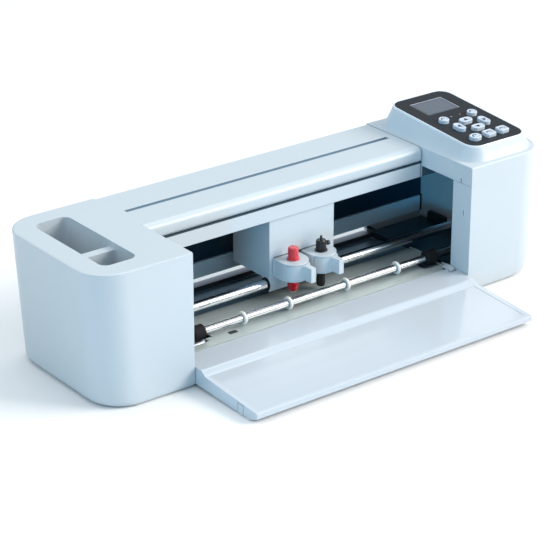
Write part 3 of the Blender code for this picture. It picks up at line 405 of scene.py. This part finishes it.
def screen_frame():
    """The window's far and right edges, coloured pale as a painted highlight where the light catches them,
    and the paler area that shows text.
    """
    x0, x1, y0, y1 = 498.2, 542.8, 102.6, 134.4
    shape = bmesh.new()
    for outline in (
        [(x0, y1 - 0.9), (x1, y1 - 0.9), (x1, y1), (x0, y1)],
        [(x1 - 0.8, y0), (x1, y0), (x1, y1 - 0.9), (x1 - 0.8, y1 - 0.9)],
    ):
        add_skin(shape, [[on_panel(x, y, rise) for x, y in outline] for rise in (-0.25, -0.08)])
    finish_piece("screen_frame", shape, BEZEL_HIGHLIGHT, "machine")
    viewing = [(x0 + 3.2, y0 + 3.0), (x1 - 4.0, y0 + 3.0), (x1 - 4.0, y1 - 4.0), (x0 + 3.2, y1 - 4.0)]
    shape = bmesh.new()
    add_skin(shape, [[on_panel(x, y, rise) for x, y in viewing] for rise in (-0.3, -0.16)])
    finish_piece("screen_viewing_area", shape, SCREEN_LIT, "machine")


# name: centre x, centre y, width along x, depth along y, corner radius, mark
KEYS = {
    "menu": (500.2, 80.7, 11.6, 11.6, 5.8, "arc"),
    "delete": (540.6, 80.7, 11.4, 11.4, 5.7, "arc"),
    "up": (520.1, 68.0, 16.6, 9.8, 4.9, "up"),
    "left": (502.4, 58.2, 9.8, 16.6, 4.9, "left"),
    "right": (537.6, 58.2, 9.8, 16.6, 4.9, "right"),
    "down": (520.1, 48.3, 16.6, 9.8, 4.9, "down"),
    "pause": (500.0, 30.2, 14.2, 11.4, 5.7, "arc"),
    "test": (519.5, 30.2, 13.4, 11.6, 2.5, "frame"),
    "reset": (538.4, 30.2, 12.8, 11.4, 2.5, "frame"),
}
# Height over the overlay and growth of the outline: a flange below, then a cap with a dished top
KEY_LEVELS = (
    (-4.4, 0.9), (-2.3, 0.9), (-2.3, 0.0), (3.1, 0.0), (3.6, -0.15), (3.9, -0.5), (4.0, -1.0), (3.92, -1.5),
    (3.6, -2.1), (3.45, -2.9), (3.42, -3.6),
)
MARK_RISE = (3.3, 3.56)


def key_outline(width, depth, corner, grow):
    half_x, half_y = width / 2 + grow, depth / 2 + grow
    radius = max(0.3, min(corner + grow, half_x - 0.01, half_y - 0.01))
    return rounded((-half_x, half_x), (-half_y, half_y), radius, 6)


def arc_band(inner, outer, first, last, steps=14):
    angles = [math.radians(first + (last - first) * step / steps) for step in range(steps + 1)]
    band = [(outer * math.cos(angle), outer * math.sin(angle)) for angle in angles]
    return band + [(inner * math.cos(angle), inner * math.sin(angle)) for angle in reversed(angles)]


def mark_outlines(kind):
    """The dark mark on a key: a turned arrow head, an arc, or an open frame."""
    if kind == "arc":
        return [arc_band(2.3, 3.6, 30, 200)]
    if kind == "frame":
        return [
            [(-3.2, 1.1), (3.2, 1.1), (3.2, 2.2), (-3.2, 2.2)],
            [(-3.2, -1.6), (-2.7, -1.6), (-2.7, 1.2), (-3.2, 1.2)],
            [(2.7, -1.6), (3.2, -1.6), (3.2, 1.2), (2.7, 1.2)],
        ]
    turn = {"right": 0, "up": 90, "left": 180, "down": 270}[kind]
    tip = [math.radians(turn + step) for step in (0, 120, 240)]
    return [[(3.2 * math.cos(angle), 3.2 * math.sin(angle)) for angle in tip]]


def keys():
    for name, (x, y, width, depth, corner, mark) in KEYS.items():
        shape = bmesh.new()
        add_skin(shape, [
            [near_panel((x, y), u, v, rise) for u, v in key_outline(width, depth, corner, grow)]
            for rise, grow in KEY_LEVELS
        ])
        cap = finish_piece(f"key_cap_{name}", shape, KEY, f"key_{name}")
        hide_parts(f"button_{name}")
        shape = bmesh.new()
        for outline in mark_outlines(mark):
            add_skin(shape, [[near_panel((x, y), u, v, rise) for u, v in outline] for rise in MARK_RISE])
        finish_piece(f"key_mark_{name}", shape, ICON, f"key_{name}")


# ---------------------------------------------------------------- shells

def shell_outline(inset):
    """The right housing's outline from its inner front corner to its inner back one, moved inwards."""
    inner, outer, corner = 469.9, 579.5, 37.0
    reach = corner - inset
    path = [(inner, inset)]
    for centre_y, first in ((corner, -90), (BACK_FACE - corner, 0)):
        for step in range(13):
            angle = math.radians(first + 90 * step / 12)
            path.append((outer - corner + reach * math.cos(angle), centre_y + reach * math.sin(angle)))
    path.append((inner, BACK_FACE - inset))
    return path


def joint_fillers():
    """Close the joints in the right housing's shells and between bridge and left housing, nearly flush."""
    seam = shell_outline(0.0) + shell_outline(1.5)[::-1]
    prism("seam_filler", "z", seam, 121.05, 122.35, BODY)
    bridge = [(88.0, 141.6), (168.4, 141.6), (168.4, TOP - 0.004), (88.0, TOP - 0.004)]
    prism("bridge_joint_filler", "x", bridge, 109.8, 112.1, BODY)


# A dark strip on the top groove's floor and far wall: painted shade in the groove.
def painted_groove_shade():
    y0, y1, floor = 121.5, 127.1, 141.12
    outline = [
        (y0, floor), (y1, floor), (y1, TOP - 0.1),
        (y1 - 0.25, TOP - 0.1), (y1 - 0.25, floor + 0.25), (y0, floor + 0.25),
    ]
    prism("painted_groove_shade", "x", outline, 117.7, 458.8, GROOVE_SHADE)


def bay_lining():
    """What shows behind the carriage: a dark navy panel, partly painted shade under the bridge; a grooved
    strip whose pale tone carries a painted reflection; the rear slot's sill; a recess darkened with painted
    shade.
    """
    left, right = BAY_LEFT, BAY_RIGHT
    # The back panel's dark navy is partly painted shade under the bridge.
    panel = [(165.4, 43.0), (167.4, 43.0), (167.4, 122.0), (165.4, 122.0)]
    prism("bay_back_panel", "x", panel, left, right, NAVY_SHADE, edge_mm=0.2)
    # The strip's pale colour carries a painted reflection of the floor and platen.
    strip = [
        (163.4, 24.6), (167.4, 24.6), (167.4, 42.6), (163.4, 42.6),
        (163.4, 40.9), (163.9, 40.9), (163.9, 40.3), (163.4, 40.3),
    ]
    prism("bay_strip", "x", strip, left, right - 2.4, STRIP_REFLECTION, edge_mm=0.15)
    strip_end = [(162.9, 24.2), (167.4, 24.2), (167.4, 43.4), (162.9, 43.4)]
    prism("bay_strip_end", "x", strip_end, right - 2.2, right - 0.2, DARK, edge_mm=0.3)
    cap = [(159.7, 16.32), (170.8, 16.32), (170.8, 16.62), (160.2, 16.62), (159.7, 16.5)]
    prism("rear_sill", "x", cap, 116.2, 465.8, SILL)
    front = [(158.0, 12.0), (159.6, 12.0), (160.3, 16.2), (158.9, 16.2)]
    prism("sill_front", "x", front, left + 0.2, right, DARK, edge_mm=0.2)
    gusset = [(119.0, 17.5), (147.0, 17.0), (147.0, 29.4), (119.0, 29.6)]
    prism("sill_gusset", "x", gusset, right - 5.4, right - 0.1, DARK, edge_mm=0.6)
    # The deck and the two thin pieces over the housing's wall edge are near-black navy: painted shade in the
    # right recess.
    deck = [(30.5, 20.3), (156.5, 20.3), (156.5, 21.1), (30.5, 21.1)]
    prism("recess_deck", "x", deck, 472.4, 540.0, RECESS_SHADE, edge_mm=0.2)
    cap = [(466.2, 21.05), (472.2, 21.05), (472.2, 21.35), (466.2, 21.35)]
    prism("recess_sill_painted_shade", "y", cap, 96.0, 168.2, RECESS_SHADE)
    wall_shade = [(96.0, 11.6), (168.2, 11.6), (168.2, 21.0), (96.0, 21.0)]
    prism("recess_wall_painted_shade", "x", wall_shade, 468.9, 469.3, RECESS_SHADE)
    window = rounded((181.9, 192.2), (37.6, 43.6), 1.4, 4)
    prism("media_slot_window", "z", window, 21.51, 21.58, DARK)


def bridge_joints():
    """Dark strips painted as shadow in the narrow joints round the bridge's right end and under its nose, and
    painted shade over the fascia's end in the right recess.
    """
    arc = [math.pi / 2 * step / 8 for step in range(9)]
    outer = [(87.0 - 8.42 * math.sin(turn), TOP - 6.5 + 6.72 * math.cos(turn)) for turn in arc]
    inner = [(87.0 - 8.1 * math.sin(turn), TOP - 6.5 + 6.4 * math.cos(turn)) for turn in arc]
    path = [(168.4, TOP + 0.22), *outer, (78.98, 130.4), (80.7, 126.9)]
    path += [(81.0, 127.1), (79.3, 130.5), *inner[::-1], (168.4, TOP - 0.1)]
    # A dark strip just proud over the joint at the bridge's right end: painted shadow in the joint.
    prism("bridge_end_painted_shadow", "x", path, 467.6, 468.4, GROOVE_SHADE)
    # A dark strip on the fascia's top edge: painted shadow in the gap under the nose.
    shadow_band = [(78.85, 125.3), (78.98, 125.3), (78.98, 126.25), (80.6, 126.25), (80.6, 126.75), (78.85, 126.75)]
    prism("nose_painted_shadow", "x", shadow_band, 111.4, 468.9, NOSE_SHADOW)
    # Dark teal over the fascia's end, and a dark line at its joint: painted shade inside the right recess.
    shade = [(78.8, 109.8), (78.95, 109.8), (78.95, 121.3), (78.8, 121.3)]
    prism("fascia_end_painted_shade", "x", shade, 469.6, BAY_RIGHT, FASCIA_END_SHADE)
    post = [(78.7, 109.8), (78.95, 109.8), (78.95, 126.0), (78.7, 126.0)]
    prism("fascia_end_line", "x", post, 466.9, 467.7, FASCIA_END_SHADE)


def rod_wipers():
    """A black wiper round the rod at each face of the carriage."""
    for name, face, way in (("left", 265.2, -1), ("right", 350.1, 1)):
        profile = [(5.15, 0.02), (7.1, 0.02), (7.3, 0.2), (7.1, 0.5), (5.6, 0.55), (5.15, 0.4)]
        profile = [(radius, level * way) for radius, level in profile]
        lathe(f"rod_wiper_{name}", "x", (face, ROD_Y, ROD_Z), profile, RUBBER, "carriage")


# ---------------------------------------------------------------- tools

def ribbed_sleeve(name, centre, levels, wave, look, body, steps=144):
    """A sleeve whose radius at each level and angle is given by wave, with a smooth bore inside."""
    rings = []
    for level in levels:
        ring = []
        for step in range(steps):
            angle = 2 * math.pi * step / steps
            radius = wave(angle, level)
            ring.append(mm(centre[0] + radius * math.cos(angle), centre[1] + radius * math.sin(angle), level))
        rings.append(ring)
    bore = 4.6
    for level in (levels[-1], levels[0]):
        rings.append([
            mm(centre[0] + bore * math.cos(2 * math.pi * step / steps),
               centre[1] + bore * math.sin(2 * math.pi * step / steps), level)
            for step in range(steps)
        ])
    shape = bmesh.new()
    add_skin(shape, rings, loop=True)
    finish_piece(name, shape, look, body)


def tools():
    blade, pen = (BLADE_X, TOOL_Y), (PEN_X, TOOL_Y)

    def ribs(angle, level):
        fade = min(1.0, (level - 70.0) / 0.6, (78.0 - level) / 0.6)
        return 5.34 + 0.2 * max(0.0, fade) * (0.5 + 0.5 * math.cos(26 * angle))

    grip_levels = [70.0, 70.3, 70.6, 77.4, 77.7, 78.0]
    ribbed_sleeve("blade_cap_grip", blade, grip_levels, ribs, RED, "blade_tool", 208)

    def knurls(angle, level):
        fade = max(0.0, min(1.0, (level - 68.6) / 0.5, (77.2 - level) / 0.5))
        crossing = math.cos(15 * angle + 2.6 * level) * math.cos(15 * angle - 2.6 * level)
        return 5.26 + 0.26 * fade * abs(crossing)

    knurl_levels = [68.6 + 8.6 * step / 34 for step in range(35)]
    ribbed_sleeve("pen_barrel_knurl", pen, knurl_levels, knurls, KNURL, "pen_tool", 150)
    nose = [
        (5.3, 45.7), (6.16, 45.6), (6.22, 45.2), (6.18, 38.0), (5.5, 33.4),
        (4.15, 30.75), (3.6, 30.75), (5.2, 34.0), (5.3, 38.0),
    ]
    lathe("blade_nose", "z", (*blade, 0), nose, RUBY, "blade_tool", 48)
    tip = [(3.5, 30.9), (4.1, 30.7), (2.7, 28.8), (1.5, 27.9), (1.0, 27.9), (1.0, 29.6)]
    lathe("blade_tip_collar", "z", (*blade, 0), tip, CLEAR, "blade_tool", 40)
    knob = [(1.0, 4.6), (1.9, 4.6), (2.5, 5.2), (2.6, 7.0), (2.2, 7.6), (0.6, 7.7), (0.6, 7.2), (1.0, 6.6)]
    lathe("pen_thumb_screw", "x", (PEN_X + 3, TOOL_Y, 72.5), knob, MOTOR, "pen_tool", 24)


# ---------------------------------------------------------------- door

def door_filler():
    """Fills the narrow joint round the door's inset panel, level with that panel."""
    slope = 5.7 / 82.0                      # rise over run of the panel's surface
    (x0, x1), (y0, y1) = (118.2, 462.3), (-93.5, -17.5)

    def ring(grow, depth):
        left, right, front, back = x0 + grow, x1 - grow, y0 + grow, y1 - grow
        corners = ((left, front), (right, front), (right, back), (left, back))
        return [mm(x, y, 11.3 + slope * (y + 98.0) - depth) for x, y in corners]

    shape = bmesh.new()
    add_skin(shape, [ring(0.02, 0.3), ring(0.55, 0.3), ring(0.55, 1.9), ring(0.02, 1.9)], loop=True)
    finish_piece("door_joint_filler", shape, DOOR, "door")


# ---------------------------------------------------------------- back, sides and underside

def screw_heads(name, axis, places, radius, rise, look):
    """Domed screw heads with a cross recess. rise is signed: the way the heads stand along the axis."""
    heads, recesses = bmesh.new(), bmesh.new()
    way = math.copysign(1.0, rise)
    for level, u, v in places:
        centre = {"y": (u, level, v), "z": (u, v, level)}[axis]
        dome = [(0, -0.1 * way), (radius, -0.1 * way), (radius, rise * 0.35), (radius * 0.86, rise * 0.75),
                (radius * 0.5, rise), (0, rise)]
        add_lathe(heads, axis, centre, dome, 28)
        arm, half = radius * 0.5, radius * 0.13
        cross = [
            (half, half), (half, arm), (-half, arm), (-half, half), (-arm, half), (-arm, -half),
            (-half, -half), (-half, -arm), (half, -arm), (half, -half), (arm, -half), (arm, half),
        ]
        levels = sorted((level + rise * 0.9, level + rise + 0.02 * way))
        add_prism(recesses, axis, [(u + a, v + b) for a, b in cross], *levels)
    finish_piece(name, heads, look, "machine")
    finish_piece(name + "_recesses", recesses, DARK, "machine")


def vents(name, middle_x, middle_z, count, pitch, half):
    """A louvre insert in a back wall: a rounded frame with slats that lean out over dark gaps."""
    top, low = middle_z + count * pitch / 2 + 2, middle_z - count * pitch / 2 - 2
    face = BACK_FACE - 0.05
    outline = rounded((middle_x - half - 3, middle_x + half + 3), (low, top), 3.0)
    prism(name + "_backing", "y", outline, face, face + 0.25, DARK)
    shape = bmesh.new()
    for index in range(count):
        z = low + 2 + pitch * (index + 0.5)
        slat = [
            (face, z - 1.0), (face + 1.1, z - 1.25), (face + 1.3, z - 1.0),
            (face + 0.3, z + 1.0), (face, z + 1.0),
        ]
        add_prism(shape, "x", slat, middle_x - half, middle_x + half)
    inner = rounded((middle_x - half - 1.2, middle_x + half + 1.2), (low + 1.6, top - 1.6), 1.6)
    rings = []
    for ring, level in ((outline, face), (outline, face + 0.9), (inner, face + 0.9), (inner, face)):
        rings.append([mm(x, level, z) for x, z in ring])
    add_skin(shape, rings, loop=True)
    finish_piece(name, shape, BODY, "machine", 0.15)


def hidden_sides():
    vents("vent_left", 66.0, 112.0, 6, 4.6, 24.0)
    vents("vent_right", 524.0, 70.0, 8, 4.6, 20.0)
    columns = ((30.0, 132.0), (103.0, 132.0), (478.0, 112.0), (556.0, 112.0))
    places = [(BACK_FACE, x, z) for x, high in columns for z in (14.0, high)]
    screw_heads("back_screws", "y", places, 2.9, 1.1, PLATED)
    places = [(BASE_PLATE_LOW, x, y) for x in (100.0, 290.0, 480.0) for y in (40.0, 160.0)]
    screw_heads("base_screws", "z", places, 3.4, -1.2, PLATED)
    places = [(COVER_BACK, x, 60.0) for x in (140.0, 290.0, 440.0)]
    screw_heads("cover_screws", "y", places, 2.6, 1.0, PLATED)
    plate = rounded((492.0, 556.0), (18.0, 42.0), 2.0)
    prism("blank_rating_plate", "y", plate, BACK_FACE - 0.05, BACK_FACE + 0.2, ALUMINIUM)


# ---------------------------------------------------------------- stage, light, camera

def stage():
    shape = bmesh.new()
    bmesh.ops.create_grid(shape, x_segments=1, y_segments=1, size=12.0)
    floor_mesh = bpy.data.meshes.new("floor")
    shape.to_mesh(floor_mesh)
    shape.free()
    floor = bpy.data.objects.new("floor", floor_mesh)
    bpy.context.scene.collection.objects.link(floor)
    floor.location.z = cad_bounds[0].z - 0.0001
    floor_mesh.materials.append(new_material("floor_paper", (0.8, 0.8, 0.8), 0.9))
    world = bpy.data.worlds.new("studio")
    bpy.context.scene.world = world
    world.use_nodes = True
    nodes, links = world.node_tree.nodes, world.node_tree.links
    direction = nodes.new("ShaderNodeTexCoord")
    split = nodes.new("ShaderNodeSeparateXYZ")
    ramp = nodes.new("ShaderNodeValToRGB")
    ramp.color_ramp.elements[0].position = 0.0
    ramp.color_ramp.elements[0].color = (0.29, 0.39, 0.47, 1.0)
    ramp.color_ramp.elements[1].position = 0.8
    ramp.color_ramp.elements[1].color = (0.90, 1.0, 1.08, 1.0)
    links.new(direction.outputs["Generated"], split.inputs["Vector"])
    links.new(split.outputs["Z"], ramp.inputs["Fac"])
    links.new(ramp.outputs["Color"], nodes["Background"].inputs["Color"])
    nodes["Background"].inputs["Strength"].default_value = 0.85


def new_light(name, kind, location, target, power, colour):
    """A light that is turned towards its target."""
    light = bpy.data.lights.new(name, kind)
    light.energy = power
    light.color = colour
    obj = bpy.data.objects.new(name, light)
    bpy.context.scene.collection.objects.link(obj)
    obj.location = location
    obj.rotation_euler = (Vector(target) - Vector(location)).to_track_quat("-Z", "Y").to_euler()
    return light


def area_light(name, location, target, size, power, colour):
    light = new_light(name, "AREA", location, target, power, colour)
    light.shape = "RECTANGLE"
    light.size, light.size_y = size


def spot_light(name, location, target, power, colour, spread, blend, softness):
    light = new_light(name, "SPOT", location, target, power, colour)
    light.spot_size, light.spot_blend, light.shadow_soft_size = math.radians(spread), blend, softness


def lights():
    area_light("key", (3.2, -2.6, 2.3), (0, 0, 0.07), (2.8, 2.4), 278.0, (1.0, 0.93, 0.86))
    area_light("top", (0.0, 0.5, 1.6), (0, 0, 0.07), (2.0, 0.7), 9.0, (1.0, 0.98, 0.96))
    area_light("side_fill", (-1.5, 0.05, 0.65), (0, 0, 0.1), (0.8, 0.8), 3.8, (0.62, 0.87, 1.0))
    spot_light("bay_fill", (-1.1, -0.9, 0.13), (0.1, 0.05, 0.075), 60.0, (0.08, 0.60, 1.0), 12, 0.6, 0.2)


CAMERA_MM = (-960.2, -1520.4, 957.5)
CAMERA_FORWARD = (0.555913, 0.722591, -0.410881)
CAMERA_RIGHT = (0.7926, -0.6097, 0.0)
SENSOR_MM, LENS_MM = 36.0, 139.77           # a long lens, so the machine's edges stay nearly parallel


def camera():
    data = bpy.data.cameras.new("camera")
    data.sensor_width = SENSOR_MM
    data.lens = LENS_MM
    data.clip_start, data.clip_end = 0.05, 30.0
    obj = bpy.data.objects.new("camera", data)
    bpy.context.scene.collection.objects.link(obj)
    forward = Vector(CAMERA_FORWARD).normalized()
    right = Vector(CAMERA_RIGHT).normalized()
    up = right.cross(forward)
    turn = Matrix((right, up, -forward)).transposed().to_4x4()
    turn.translation = mm(*CAMERA_MM)
    obj.matrix_world = turn
    bpy.context.scene.camera = obj
    bpy.context.scene.view_settings.view_transform = "Standard"


dress_nodes()
panel_rim()
screen_frame()
keys()
joint_fillers()
painted_groove_shade()
bay_lining()
bridge_joints()
rod_wipers()
tools()
door_filler()
hidden_sides()
stage()
lights()
camera()
